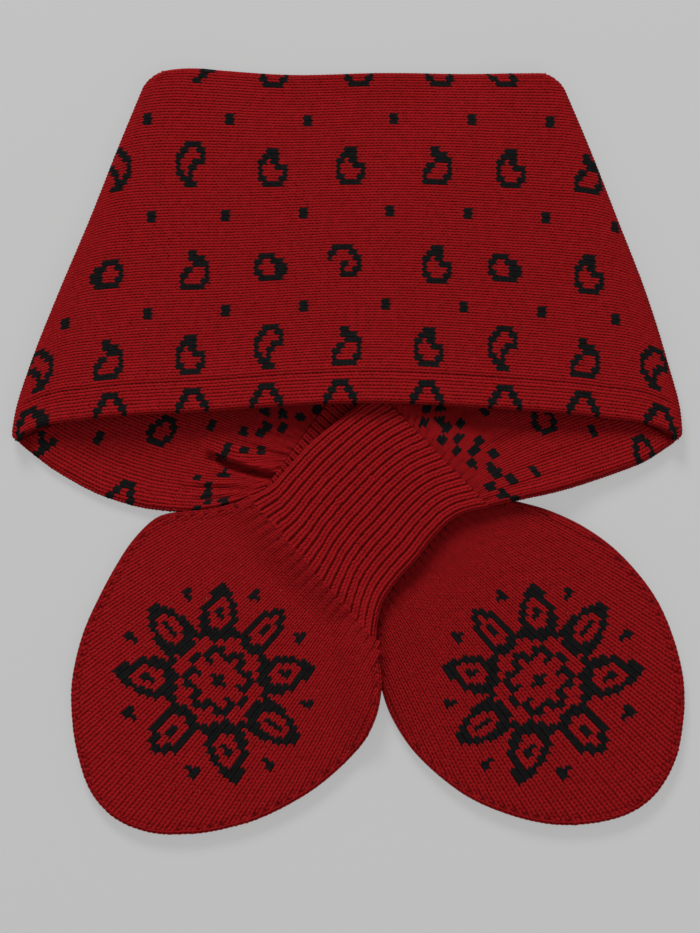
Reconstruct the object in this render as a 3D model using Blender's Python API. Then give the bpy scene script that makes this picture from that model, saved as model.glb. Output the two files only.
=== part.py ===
"""A child's knitted crossover scarf with a bandana pattern, laid flat.

One long strip of double knit: a wide band in the middle, a ribbed neck at
each end of it and a rounded paddle past each neck. The band is folded back
at both sides, so its two far stretches run inwards underneath it, the two
necks cross, and each paddle lies below the opposite side.

Metres, +Z up. The scarf lies on z = 0, and the origin is below the middle of
its outline. Tables are in millimetres: x to the right, y towards the top.
"""

import math
from collections import namedtuple

import bmesh
import bpy
import numpy as np

MM = 0.001
GAP = 0.3  # between pieces that meet or lie on each other

# One layer of knit is about 2.2 thick; every stretch but a paddle's face is two layers.
BAND = 4.5
RIB = 5.2
FACE = 2.3  # one face of a paddle

# How far past a lower piece the cloth on top stays up, and where it is down again.
HELD = 5.0
DOWN = 22.0
BAND_HELD = 7.0
BAND_DOWN = 36.0

RIM_SHARE = 0.3  # share of the thickness left at the very rim of a rounded edge
JOIN_SHARE = 0.8  # and where a piece goes on in the next one
EDGE_ROUND = 2.3  # radius of a stretch's long edges
END_ROUND = 0.8  # radius where a stretch goes on in the next piece
FOLD_ROUND = 4.6  # radius of the band's folded sides
FOLD_RIM = 4.9  # width over which a folded side reaches down to the floor
# Each corner of the near stretch, seen from above: its radius, and how far in its columns are drawn.
TOP_CORNER = (6.5, 60.0)
LOW_CORNER = (3.4, FOLD_RIM)

NEAR_ROW = 9.0  # spacing of the near stretch's rows, and of its columns
NEAR_COLUMN = 7.0
LOW_EVEN = 20.0  # up to here its rows follow the lower edge
AWAY = 40.0  # stands for any distance that is past all rounding

RIBS = 19  # raised ribs on the face of a neck
RIB_RISE = 0.9
RIB_STEPS = 3  # columns a rib

SEAM_UP = 12.5  # the linking seam's height above the band's lower edge
SEAM_WIDE = 1.3
SEAM_DEEP = 0.8
RIM_SEAM = 3.6  # the paddle's seam lies this far inside its outline
RIM_SEAM_WIDE = 1.2
RIM_SEAM_DEEP = 0.7
PADDLE_CROWN = 0.9  # how much higher a paddle is in the middle

ROUND_RIM = 52  # places round a paddle's free rim
NECK_LINE = 8  # and along the line where its neck joins it
RINGS = np.array([0.0, 0.5, 1.3, 2.5, RIM_SEAM, 4.8, 7.0, 14.0, 25.0, 38.0])

# Rows and columns by their distance inside an edge, and a far stretch's by the share across it.
TOP_ROWS = [0.0, 0.5, 1.4, 3.0]
LOW_ROWS = [0.0, 0.5, 1.4, 3.0, 7.0, 11.2, SEAM_UP, 13.8]
FOLD_COLUMNS = np.array([0.0, 0.6, 1.8, FOLD_RIM - 0.6, FOLD_RIM, FOLD_RIM + 0.4])
FAR_COLUMNS = np.r_[0, 0.006, 0.016, 0.035, np.linspace(0.09, 0.91, 11), 0.965, 0.984, 0.994, 1]
FAR_ROW = 8.0

WOOL = (0.18, 0.005, 0.006, 1.0)
WOOL_ROUGHNESS = 0.9

Point = namedtuple("Point", "x y")
Side = namedtuple("Side", "down left right")
Level = namedtuple("Level", "across y")
Trough = namedtuple("Trough", "x1 y1 x2 y2 wide deep")

# The near stretch: its two folded sides, from the top edge down to the lower edge.
BAND_SIDES = [
    Side(0.00, -79.8, 83.6),
    Side(0.20, -92.0, 95.6),
    Side(0.40, -103.6, 107.0),
    Side(0.60, -115.8, 118.4),
    Side(0.80, -127.2, 127.6),
    Side(0.92, -132.8, 132.2),
    Side(1.00, -135.0, 133.4),
]
BAND_TOP = [
    Level(0.00, 152.0),
    Level(0.04, 152.9),
    Level(0.08, 153.2),
    Level(0.16, 152.5),
    Level(0.35, 151.0),
    Level(0.58, 151.8),
    Level(0.82, 151.2),
    Level(1.00, 151.2),
]
BAND_LOWER = [
    Level(0.000, 4.6),
    Level(0.043, 9.6),
    Level(0.116, 12.8),
    Level(0.284, 15.8),
    Level(0.506, 19.2),
    Level(0.739, 16.8),
    Level(0.880, 13.4),
    Level(0.960, 9.8),
    Level(1.000, 5.0),
]

# The far stretches run from the fold to the neck: lower edge, then upper edge.
FAR_LEFT_LOWER = [
    Point(-129.6, 1.9),
    Point(-124.2, -2.6),
    Point(-117.4, -7.4),
    Point(-101.4, -16.0),
    Point(-85.4, -21.3),
    Point(-75.2, -23.1),
    Point(-69.0, -24.0),
    Point(-62.0, -23.7),
    Point(-54.8, -22.6),
    Point(-48.7, -21.0),
    Point(-42.6, -18.8),
    Point(-34.0, -15.2),
]
FAR_LEFT_UPPER = [
    Point(-74.2, 143.2),
    Point(-43.0, 114.6),
    Point(-21.8, 90.6),
    Point(-9.0, 68.6),
    Point(-4.4, 48.0),
    Point(-2.0, 29.0),
]
FAR_RIGHT_LOWER = [
    Point(127.9, 2.2),
    Point(121.2, -2.4),
    Point(114.6, -5.8),
    Point(98.6, -11.5),
    Point(82.6, -16.2),
    Point(68.2, -19.4),
    Point(56.8, -22.0),
]
FAR_RIGHT_UPPER = [
    Point(77.4, 143.2),
    Point(48.0, 114.6),
    Point(28.0, 90.6),
    Point(15.6, 68.6),
    Point(12.4, 46.0),
    Point(11.6, 24.6),
]

# The necks run from the band to the paddle: one long edge, then the other.
NECK_BACK_LOWER = [
    Point(-33.6, -15.6),
    Point(-19.4, -33.0),
    Point(-4.0, -47.0),
    Point(10.5, -60.5),
]
NECK_BACK_UPPER = [
    Point(-1.6, 28.6),
    Point(16.6, 14.6),
    Point(34.6, -0.2),
    Point(50.1, -15.7),
]
NECK_FRONT_LOWER = [
    Point(56.4, -22.4),
    Point(47.4, -24.2),
    Point(40.6, -27.8),
    Point(33.8, -34.6),
    Point(27.0, -43.4),
    Point(19.4, -51.8),
    Point(13.8, -60.2),
    Point(11.6, -68.4),
    Point(11.0, -76.0),
]
NECK_FRONT_UPPER = [
    Point(11.2, 24.2),
    Point(2.2, 17.4),
    Point(-14.2, 4.2),
    Point(-24.6, -7.0),
    Point(-31.4, -14.3),
    Point(-39.6, -18.7),
]

# The paddles' outlines, from one corner of the neck round to the other.
PADDLE_LEFT = [
    Point(-39.8, -19.0),
    Point(-48.7, -21.9),
    Point(-57.4, -23.7),
    Point(-69.0, -24.7),
    Point(-76.4, -26.8),
    Point(-83.2, -33.0),
    Point(-89.8, -42.0),
    Point(-98.4, -57.4),
    Point(-105.8, -73.4),
    Point(-110.4, -91.0),
    Point(-110.8, -107.0),
    Point(-107.8, -122.2),
    Point(-102.0, -136.8),
    Point(-92.6, -147.0),
    Point(-79.4, -152.4),
    Point(-66.0, -153.2),
    Point(-52.6, -151.2),
    Point(-34.6, -145.4),
    Point(-14.2, -134.0),
    Point(2.4, -119.4),
    Point(10.2, -107.2),
    Point(13.3, -95.0),
    Point(12.8, -85.0),
    Point(10.8, -76.3),
]
PADDLE_RIGHT = [
    Point(50.4, -16.0),
    Point(69.4, -20.4),
    Point(81.0, -23.8),
    Point(94.2, -30.0),
    Point(107.0, -39.2),
    Point(118.4, -51.6),
    Point(125.8, -63.4),
    Point(131.2, -77.4),
    Point(134.4, -92.0),
    Point(134.4, -107.0),
    Point(130.8, -123.4),
    Point(122.6, -137.2),
    Point(110.0, -146.2),
    Point(90.0, -149.8),
    Point(70.2, -147.4),
    Point(48.0, -138.6),
    Point(29.0, -123.4),
    Point(18.2, -108.4),
    Point(13.0, -94.4),
    Point(11.2, -80.4),
    Point(10.8, -69.4),
    Point(10.8, -60.8),
]
PADDLE_LEFT_MIDDLE = Point(-47.0, -88.0)
PADDLE_RIGHT_MIDDLE = Point(71.0, -88.0)

# The largest creases, as soft troughs from one point to another.
FAR_LEFT_TROUGHS = [
    Trough(-56.0, -2.0, -34.0, -10.6, 2.6, 2.2),
    Trough(-66.0, -15.0, -42.0, -15.6, 2.2, 0.8),
    Trough(-62.0, 8.0, -36.0, -3.0, 2.4, 0.7),
    Trough(-108.0, 2.0, -82.0, -12.0, 4.0, 0.5),
]
FAR_RIGHT_TROUGHS = [
    Trough(96.0, 3.0, 58.0, -12.0, 2.6, 0.8),
    Trough(84.0, -8.0, 60.0, -16.0, 1.8, 0.7),
    Trough(80.0, 14.0, 46.0, -3.0, 2.6, 0.8),
    Trough(64.0, 22.0, 30.0, 8.0, 2.6, 0.7),
]
BAND_TROUGHS = [
    Trough(-96.0, 60.0, -84.0, 104.0, 9.0, 0.6),
    Trough(-60.0, 36.0, -30.0, 58.0, 9.0, 0.6),
    Trough(-30.0, 142.0, 26.0, 140.0, 7.0, 0.7),
    Trough(60.0, 40.0, 92.0, 66.0, 10.0, 0.6),
]
PADDLE_RIGHT_TROUGHS = [
    Trough(20.0, -50.0, 42.0, -46.0, 8.0, 1.1),
    Trough(44.0, -34.0, 62.0, -38.0, 6.0, 0.6),
]
PADDLE_LEFT_TROUGHS = [
    Trough(-60.0, -36.0, -30.0, -58.0, 8.0, 0.5),
]

# The top points of each piece laid so far, in millimetres.
laid = {}


def smooth_path(points, fractions):
    """Points at these fractions of the length of a smooth curve through a table's rows."""
    p = np.array(points, float)
    p = np.vstack([2 * p[0] - p[1], p, 2 * p[-1] - p[-2]])
    fine = []
    steps = np.linspace(0, 1, 24, endpoint=False)[:, None]
    for a, b, c, d in zip(p, p[1:], p[2:], p[3:]):
        bend = (2 * a - 5 * b + 4 * c - d) * steps**2
        turn = (3 * b - 3 * c + d - a) * steps**3
        fine.append(0.5 * (2 * b + (c - a) * steps + bend + turn))
    fine = np.vstack(fine + [p[-2:-1]])
    length = np.r_[0, np.cumsum(np.linalg.norm(np.diff(fine, axis=0), axis=1))]
    at = np.asarray(fractions) * length[-1]
    return np.stack([np.interp(at, length, fine[:, k]) for k in (0, 1)], axis=-1)


def soft_step(value):
    """0 below 0, 1 above 1, and smooth between."""
    value = np.clip(value, 0, 1)
    return value * value * (3 - 2 * value)


def lie_on(lower_pieces, plan, held=HELD, down=DOWN):
    """The height of a piece's underside: up on the pieces below it, and on the floor past them."""
    height = np.zeros(plan.shape[:-1])
    for name in lower_pieces:
        for x, y, z in laid[name]:
            away = np.hypot(plan[..., 0] - x, plan[..., 1] - y)
            share = 1 - soft_step((away - held) / (down - held))
            height = np.maximum(height, (z + GAP) * share)
    return height


def rounded(distance, radius, at_rim=RIM_SHARE):
    """The share of the thickness at this distance inside an edge."""
    q = np.clip(distance / radius, 0, 1)
    return at_rim + (1 - at_rim) * np.sqrt(1 - (1 - q) ** 2)


def trough_depth(plan, troughs):
    """How deep the creases are at each point."""
    depth = np.zeros(plan.shape[:-1])
    for t in troughs:
        start = np.array([t.x1, t.y1])
        way = np.array([t.x2, t.y2]) - start
        along = np.clip(((plan - start) @ way) / (way @ way), 0, 1)
        away = np.linalg.norm(plan - start - along[..., None] * way, axis=-1)
        depth = np.maximum(depth, t.deep * np.exp(-((away / t.wide) ** 2)))
    return depth


def stations(length, spacing, first, last):
    """Distances along a length: the named ones near each end, and even ones between."""
    inner = length - first[-1] - last[-1]
    count = max(2, round(inner / spacing))
    middle = first[-1] + inner * np.arange(1, count) / count
    return np.r_[first, middle, length - np.array(last[::-1])]


def material(name):
    mat = bpy.data.materials.new(name)
    mat.use_nodes = True
    shader = mat.node_tree.nodes["Principled BSDF"]
    shader.inputs["Base Color"].default_value = WOOL
    shader.inputs["Roughness"].default_value = WOOL_ROUGHNESS
    shader.inputs["Metallic"].default_value = 0.0
    mat.diffuse_color = WOOL
    return mat


def remember(name, plan, top):
    """Keeps a piece's top, so that what lies on it is laid over it."""
    laid[name] = np.dstack([plan, top]).reshape(-1, 3)


def add_wall(bm, top, bottom, closed):
    """Side faces between the rims of a top and a bottom."""
    count = len(top)
    for i in range(count if closed else count - 1):
        j = (i + 1) % count
        bm.faces.new([top[i], top[j], bottom[j], bottom[i]])


def finish(name, bm, bottom_faces, collection):
    """Points the faces outwards, joins what is flat underneath and makes the object."""
    bmesh.ops.recalc_face_normals(bm, faces=bm.faces)

    def is_inner(part):
        return all(face in bottom_faces for face in part.link_faces)

    edges = list({edge for face in bottom_faces for edge in face.edges if is_inner(edge)})
    verts = list({vert for face in bottom_faces for vert in face.verts if is_inner(vert)})
    bmesh.ops.dissolve_limit(bm, angle_limit=math.radians(0.4), verts=verts, edges=edges)
    bmesh.ops.triangulate(bm, faces=[f for f in bm.faces if len(f.verts) > 4])
    mesh = bpy.data.meshes.new(name)
    bm.to_mesh(mesh)
    bm.free()
    mesh.shade_smooth()
    mesh.set_sharp_from_angle(angle=math.radians(60))
    mesh.materials.append(material(name))
    piece = bpy.data.objects.new(name, mesh)
    collection.objects.link(piece)
    return piece


def sheet(name, plan, top, bottom, collection):
    """A closed piece of cloth over a grid of places, with its two surfaces and four side walls."""
    bm = bmesh.new()
    rows, columns = top.shape
    layers = []
    for z in (top, bottom):
        points = np.dstack([plan, z]) * MM
        layers.append([[bm.verts.new(p) for p in row] for row in points])
    bottom_faces = set()
    for layer in layers:
        for i in range(rows - 1):
            for j in range(columns - 1):
                corners = [layer[i][j], layer[i + 1][j], layer[i + 1][j + 1], layer[i][j + 1]]
                face = bm.faces.new(corners)
                if layer is layers[1]:
                    bottom_faces.add(face)
    rims = []
    for layer in layers:
        rim = [layer[0][j] for j in range(columns)]
        rim += [layer[i][-1] for i in range(1, rows)]
        rim += [layer[-1][j] for j in range(columns - 2, -1, -1)]
        rim += [layer[i][0] for i in range(rows - 2, 0, -1)]
        rims.append(rim)
    add_wall(bm, rims[0], rims[1], closed=True)
    return finish(name, bm, bottom_faces, collection)


def disc(name, plan, top, bottom, collection):
    """The same over rings that close round a middle, the outermost ring first."""
    bm = bmesh.new()
    layers = []
    bottom_faces = set()
    for z in (top, bottom):
        points = np.dstack([plan[:-1], z[:-1]]) * MM
        rings = [[bm.verts.new(p) for p in ring] for ring in points]
        middle = bm.verts.new(np.r_[plan[-1, 0], z[-1, 0]] * MM)
        layers.append(rings)
        faces = []
        count = len(rings[0])
        for outer, inner in zip(rings, rings[1:]):
            for i in range(count):
                j = (i + 1) % count
                faces.append(bm.faces.new([outer[i], outer[j], inner[j], inner[i]]))
        for i in range(count):
            faces.append(bm.faces.new([rings[-1][i], rings[-1][(i + 1) % count], middle]))
        if z is bottom:
            bottom_faces.update(faces)
    add_wall(bm, layers[0][0], layers[1][0], closed=True)
    return finish(name, bm, bottom_faces, collection)


def strip_grid(lower, upper, spacing, across, ends):
    """Places between two long edges, with each one's distance to the sides and the ends."""
    shares = np.linspace(0, 1, 40)
    middle = (smooth_path(lower, shares) + smooth_path(upper, shares)) / 2
    length = np.linalg.norm(np.diff(middle, axis=0), axis=1).sum()
    along = stations(length, spacing, ends, ends)
    a = smooth_path(lower, along / length)
    b = smooth_path(upper, along / length)
    share = across[None, :, None]
    plan = a[:, None] * (1 - share) + b[:, None] * share
    width = np.linalg.norm(b - a, axis=1)[:, None]
    to_side = np.minimum(across, 1 - across)[None, :] * width
    to_end = np.minimum(along, length - along)[:, None] * np.ones_like(to_side)
    return plan, to_side, to_end


def far_stretch(name, lower, upper, troughs, rests_on, collection):
    """A far stretch of the band, from its fold to the neck that it is gathered into."""
    plan, to_side, to_end = strip_grid(lower, upper, FAR_ROW, FAR_COLUMNS, [0.0, 1.2])
    under = lie_on(rests_on, plan)
    share = rounded(to_side, EDGE_ROUND) * rounded(to_end, END_ROUND, JOIN_SHARE)
    middle = under + BAND / 2
    top = middle + share * BAND / 2 - trough_depth(plan, troughs) * share
    bottom = middle - share * BAND / 2
    remember(name, plan, under + BAND)
    return sheet(name, plan, top, bottom, collection)


def neck(name, lower, upper, spacing, rests_on, collection):
    """A ribbed neck, with its ribs raised along the face that shows."""
    count = RIBS * RIB_STEPS
    across = np.linspace(0, 1, count + 1)
    plan, to_side, to_end = strip_grid(lower, upper, spacing, across, [0.0, 1.0])
    under = lie_on(rests_on, plan)
    share = rounded(to_side, EDGE_ROUND) * rounded(to_end, END_ROUND, JOIN_SHARE)
    ribs = np.where(np.arange(count + 1) % RIB_STEPS == 0, 0.0, 1.0)[None, :]
    thickness = RIB - RIB_RISE
    middle = under + thickness / 2
    top = middle + share * (thickness / 2 + RIB_RISE * ribs)
    bottom = middle - share * thickness / 2
    remember(name, plan, under + RIB)
    return sheet(name, plan, top, bottom, collection)


def paddle_rings(outline, centre):
    """Rings of places inside an outline, and its centre."""
    free = smooth_path(outline, np.linspace(0, 1, ROUND_RIM))
    share = np.arange(1, NECK_LINE)[:, None] / NECK_LINE
    rim = np.vstack([free, free[-1] * (1 - share) + free[0] * share])
    centre = np.array(centre)
    reach = np.linalg.norm(rim - centre, axis=1)
    share_in = 1 - RINGS[:, None] / reach[None, :]
    plan = centre + share_in[..., None] * (rim - centre)
    plan = np.vstack([plan, np.broadcast_to(centre, (1, len(rim), 2))])
    away = np.r_[RINGS, reach.min()][:, None] * np.ones(len(rim))
    return plan, away


def from_neck_line(outline, plan):
    """How far each place is from the line where the neck meets the paddle."""
    first, last = np.array(outline[0]), np.array(outline[-1])
    way = (last - first) / np.linalg.norm(last - first)
    return np.abs((plan - first) @ np.array([-way[1], way[0]]))


def paddle_share(outline, plan, away):
    """A face's share of its thickness: rounded at the rim, and full where the neck joins it."""
    joined = 1 - soft_step((from_neck_line(outline, plan) - 1) / 5)
    at_rim = RIM_SHARE + (JOIN_SHARE - RIM_SHARE) * joined
    return rounded(away, FACE / 2, at_rim)


def paddle_back(side, outline, centre, rests_on, collection):
    plan, away = paddle_rings(outline, centre)
    middle = lie_on(rests_on, plan) + FACE / 2
    half = paddle_share(outline, plan, away) * FACE / 2
    disc(f"paddle_{side}_back", plan, middle + half, middle - half, collection)


def paddle_front(side, outline, centre, troughs, rests_on, collection):
    """The face that shows, a little crowned, with the linking seam's groove inside its rim."""
    plan, away = paddle_rings(outline, centre)
    low = lie_on(rests_on, plan) + FACE + GAP
    share = paddle_share(outline, plan, away)
    seam = np.exp(-(((away - RIM_SEAM) / RIM_SEAM_WIDE) ** 2))
    seam = seam * soft_step((from_neck_line(outline, plan) - 4) / 6)
    crown = PADDLE_CROWN * soft_step(away / 40)
    middle = low + FACE / 2
    relief = crown - RIM_SEAM_DEEP * seam - trough_depth(plan, troughs)
    top = middle + share * (FACE / 2 + relief)
    name = f"paddle_{side}_front"
    disc(name, plan, top, middle - share * FACE / 2, collection)
    remember(name, plan, low + FACE + crown)


def paddle(side, outline, centre, troughs, rests_on, collection):
    paddle_back(side, outline, centre, rests_on, collection)
    paddle_front(side, outline, centre, troughs, rests_on, collection)


def read(table, at, name):
    """A value of a table's rows, at places between them."""
    return np.interp(at, [row[0] for row in table], [getattr(row, name) for row in table])


def near_row(fall, height, inner_columns):
    """The places along one row of the near stretch, this far below its top edge."""
    left = read(BAND_SIDES, fall / height, "left")
    right = read(BAND_SIDES, fall / height, "right")
    edge = FOLD_COLUMNS[-1]
    inner = np.linspace(left + edge, right - edge, inner_columns + 1)[1:-1]
    x = np.r_[left + FOLD_COLUMNS, inner, right - FOLD_COLUMNS[::-1]]
    across = (x - left) / (right - left)
    high = read(BAND_TOP, across, "y")
    low = read(BAND_LOWER, across, "y")
    up = height - fall
    over_even = (up - LOW_EVEN) / (height - LOW_EVEN) * (high - low - LOW_EVEN)
    y = low + up if up < LOW_EVEN else low + LOW_EVEN + over_even

    radius, reach = TOP_CORNER if fall < up else LOW_CORNER
    to_edge = min(fall, up, radius)
    inset = radius - math.sqrt(radius**2 - (radius - to_edge) ** 2)
    pull_right = np.clip(1 - (x - left) / reach, 0, 1)
    pull_left = np.clip(1 - (right - x) / reach, 0, 1)
    return np.stack([x + inset * (pull_right - pull_left), y], axis=-1)


def near_band(collection):
    """The near stretch: folded down to the floor at its sides, with a seam above its lower edge."""
    height = BAND_TOP[0].y - BAND_LOWER[0].y
    down = stations(height, NEAR_ROW, TOP_ROWS, LOW_ROWS)
    width = BAND_SIDES[0].right - BAND_SIDES[0].left
    inner_columns = round((width - 2 * FOLD_COLUMNS[-1]) / NEAR_COLUMN)
    plan = np.array([near_row(fall, height, inner_columns) for fall in down])
    inner = np.full(inner_columns - 1, AWAY)
    sides = np.r_[FOLD_COLUMNS, inner, FOLD_COLUMNS[::-1]]
    to_side = sides[None, :] * np.ones((len(down), 1))
    up = (height - down)[:, None] * np.ones_like(to_side)
    to_end = np.minimum(height - up, up)
    over = lie_on(list(laid), plan, BAND_HELD, BAND_DOWN)
    low = np.where(to_side <= FOLD_RIM, 0.0, over)
    crest = over + BAND
    fold = np.clip(crest / 2, BAND / 2, FOLD_ROUND)
    share = np.minimum(rounded(to_side, fold), rounded(to_end, EDGE_ROUND))
    middle = (crest + low) / 2
    seam = SEAM_DEEP * np.exp(-(((up - SEAM_UP) / SEAM_WIDE) ** 2))
    dips = (seam + trough_depth(plan, BAND_TROUGHS)) * soft_step(to_side / 6)
    top = middle + share * (crest - middle) - dips
    bottom = middle - share * (middle - low)
    return sheet("band_near", plan, top, bottom, collection)


def clear_scene():
    for old in list(bpy.data.objects):
        bpy.data.objects.remove(old, do_unlink=True)


def main():
    clear_scene()
    scarf = bpy.data.collections.new("knitted_bandana_scarf")
    bpy.context.scene.collection.children.link(scarf)
    far_left = (FAR_LEFT_LOWER, FAR_LEFT_UPPER, FAR_LEFT_TROUGHS)
    far_right = (FAR_RIGHT_LOWER, FAR_RIGHT_UPPER, FAR_RIGHT_TROUGHS)
    paddle_right = (PADDLE_RIGHT, PADDLE_RIGHT_MIDDLE, PADDLE_RIGHT_TROUGHS)
    paddle_left = (PADDLE_LEFT, PADDLE_LEFT_MIDDLE, PADDLE_LEFT_TROUGHS)
    far_stretch("band_far_left", *far_left, [], scarf)
    neck("neck_back", NECK_BACK_LOWER, NECK_BACK_UPPER, 8.0, [], scarf)
    paddle("right", *paddle_right, [], scarf)
    crossed = ["neck_back", "paddle_right_front"]
    far_stretch("band_far_right", *far_right, ["band_far_left", *crossed], scarf)
    neck("neck_front", NECK_FRONT_LOWER, NECK_FRONT_UPPER, 6.0, crossed, scarf)
    paddle("left", *paddle_left, crossed, scarf)
    near_band(scarf)


main()
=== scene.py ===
"""The looks of a child's knitted crossover scarf with a bandana pattern, laid flat.

Each stretch of the scarf is a thin wall of cloth, and the knitting that shows on it is
a pair of yarn legs for every stitch. A stretch is a surface over two counts: courses
along the strip and wales across it.

Shapes are worked out in millimetres: x to the right, y towards the band's top edge, z up.
"""

import math
from collections import namedtuple

import bpy
import numpy as np
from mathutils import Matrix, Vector


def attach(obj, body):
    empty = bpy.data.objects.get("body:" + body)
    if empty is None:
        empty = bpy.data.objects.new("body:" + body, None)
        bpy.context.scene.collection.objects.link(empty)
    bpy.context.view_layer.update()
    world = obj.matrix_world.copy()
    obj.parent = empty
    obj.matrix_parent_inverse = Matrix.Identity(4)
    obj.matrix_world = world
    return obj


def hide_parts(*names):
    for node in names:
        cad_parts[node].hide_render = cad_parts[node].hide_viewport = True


Point = namedtuple("Point", "x y")
Side = namedtuple("Side", "down left right")
Level = namedtuple("Level", "across y")
Corner = namedtuple("Corner", "radius reach")
Trough = namedtuple("Trough", "x1 y1 x2 y2 wide deep")
Leg = namedtuple("Leg", "reach spread lean wide high sunk dip")
Row = namedtuple("Row", "height motifs")
Dot = namedtuple("Dot", "away radius")

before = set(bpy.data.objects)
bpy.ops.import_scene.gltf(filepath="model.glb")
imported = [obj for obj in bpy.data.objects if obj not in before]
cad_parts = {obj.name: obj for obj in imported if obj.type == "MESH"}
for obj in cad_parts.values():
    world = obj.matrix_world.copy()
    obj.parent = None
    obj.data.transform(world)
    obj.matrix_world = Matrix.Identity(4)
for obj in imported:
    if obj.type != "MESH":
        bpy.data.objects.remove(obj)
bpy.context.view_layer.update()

# ------------------------------------------------------------------ measures of the cloth

MM = 0.001
RASTER_X = np.arange(-170.0, 171.0)
RASTER_Y = np.arange(-190.0, 191.0)
GAP = 0.3  # between pieces that lie on each other

# Thickness of two layers of the band's knit, of the ribbed neck, and of one face of a paddle.
BAND = 4.5
RIB = 5.2
FACE = 2.3
WALL = 1.5  # thickness of the cloth under the stitches
WALL_CLAMP = 1.5  # keeps it thinner where its rows of places crowd
STITCH_BED = 0.32  # the cloth lies this far under the tops of the stitches
LOWEST = 0.02  # height above the floor that the cloth keeps, and the yarn
LOWEST_YARN = 0.05

# How far past a lower piece the cloth on top stays up, and where it is down again.
HELD = 5.0
DOWN = 22.0
BAND_HELD = 7.0
BAND_DOWN = 36.0

EDGE_ROUND = 2.3  # radius of a stretch's long edges
FOLD_ROUND = 4.6  # radius of the band's folded sides
# The way over the cloth, from the middle of such an edge, is this much longer than its plan.
EDGE_TURN = (math.pi / 2 - 1) * EDGE_ROUND
FOLD_TURN = (math.pi / 2 - 1) * FOLD_ROUND

COURSE = 1.64  # length of a stitch along the strip
WALES = 55  # in a layer of the band, above the hem in the near stretch
HEM_WALES = 5  # wales below the linking seam
HEM = 12.5  # height of the linking seam above the band's lower edge
SEAM_DEEP = 0.45  # how far the cloth is drawn in along that seam, and over what width
SEAM_WIDE = 0.9
SEAM_HALF = 128.0  # half the seam's length
BAND_WALES = HEM_WALES + WALES

# The near stretch's corners seen from above: radius, and how far in the cloth is drawn.
TOP_CORNER = Corner(7.6, 60.0)
LOW_CORNER = Corner(3.6, 5.2)
CORNER_CUT = 0.4  # their arcs start this far along, past the steepest bit
LOW_EVEN = 20.0  # up to here the near stretch's wales follow its lower edge
# Its lower edge stands this high towards its left and right folds, and comes down over a reach.
ARCH = (9.0, 7.4)
ARCH_REACH = 60.0
# At its lower corners the fold hangs down to the far stretch's edge.
HANG = 2.0
HANG_FROM = 0.4  # it starts this far in from the side,
HANG_UP_TO = 3.4  # is full up to here,
HANG_END = 2.6  # ends over this much more,
HANG_HIGH = 9.0  # and is gone at this height

FOLD_WRAP = 3.5  # the stitches go on this far round under a folded side
STITCH_LIFT = 0.5  # and none of them stands lower than this
NEAR_REACH = 150.0  # stitches are laid out this far to the left and right, then cut to shape
NEAR_WIDE = 268.0  # width of the near stretch, for the knit of its cloth
UNDER_WRAP = 0.6  # its cloth ends this far before the underside's own width
UNDER_IN = 1.5  # and the layer below it this far inside the folds
UNDER_LIFT = 0.1

SHOWN_WALES = 48  # of a far stretch: the near one hides those above
SHOWN_PAST = 12.0  # and the stitches go on this far below it
CROWD = 0.24  # how much the far stretches' wales crowd away from the lower edge at the neck
OVER_END = 0.9  # the cloth goes on this far past a strip's end, into the next piece
NARROW = 4.0  # a ridge less wide than this leans over the crease beside it
LEAN = 0.85  # this far for each mm of its height

RIBS = 19
RIB_DEEP = 0.55
RIB_DROP = 0.3  # down to the level of the paddle's face
RIB_PAST = 13.0  # and past it into the paddle
RIB_COURSE = 1.62
RIB_FADE = 6.0  # the ribs drop over this much at a neck's end

PADDLE_COURSE = 1.72
PADDLE_WALE = 2.5  # at the middle of a paddle
PADDLE_CROWN = 0.9
CROWN_REACH = 40.0
# A paddle's stitches are laid out this far along and across, and those near the rim left out.
PADDLE_LONG = 110.0
PADDLE_HALF = 80.0
PADDLE_EDGE = 1.9
PADDLE_EDGE_AT_NECK = 2.7  # how much closer to the rim they come there
NECK_ROUND = 0.2  # radius of the rim where the neck joins

# The linking seam inside a paddle's rim, and the chain round the rim.
RIM_SEAM = 3.6
RIM_SEAM_WIDE = 1.1
RIM_SEAM_DEEP = 0.2
RIM_SEAM_YARN = 0.6  # the seam's yarn lies this much farther over the cloth
RIM_CHAIN = 1.4
RIM_STITCH = 2.1
RIM_FROM_NECK = 7.0  # both end this far from the neck

# Meshes of cloth: how many places along a strip and over its top, and rows of the others.
FAR_MESH = (60, 84)
NECK_MESH = (44, 6 * RIBS + 1)
NEAR_COLUMNS = 124
NEAR_SPREAD = 0.9  # they stand closer towards the folds, as this part of a sine's quarter
LOW_ROWS = [0.0, 0.3, 0.7, 1.2, 2.0, 3.2, 4.4, 5.0, 5.6]  # in wales from the lower edge
MIDDLE_ROWS = np.linspace(6.4, BAND_WALES - 2, 52)
TOP_ROWS = np.array([1.2, 0.7, 0.3, 0.0])  # in wales from the top edge
DISC_SEGMENTS = 176
DISC_RINGS = 34
DISC_CROWD = 1.6  # the rings stand closer towards the rim
DISC_INSET = 0.3  # the front face's rim is drawn in under its stitches

# ------------------------------------------------------------------ outlines and creases

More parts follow.
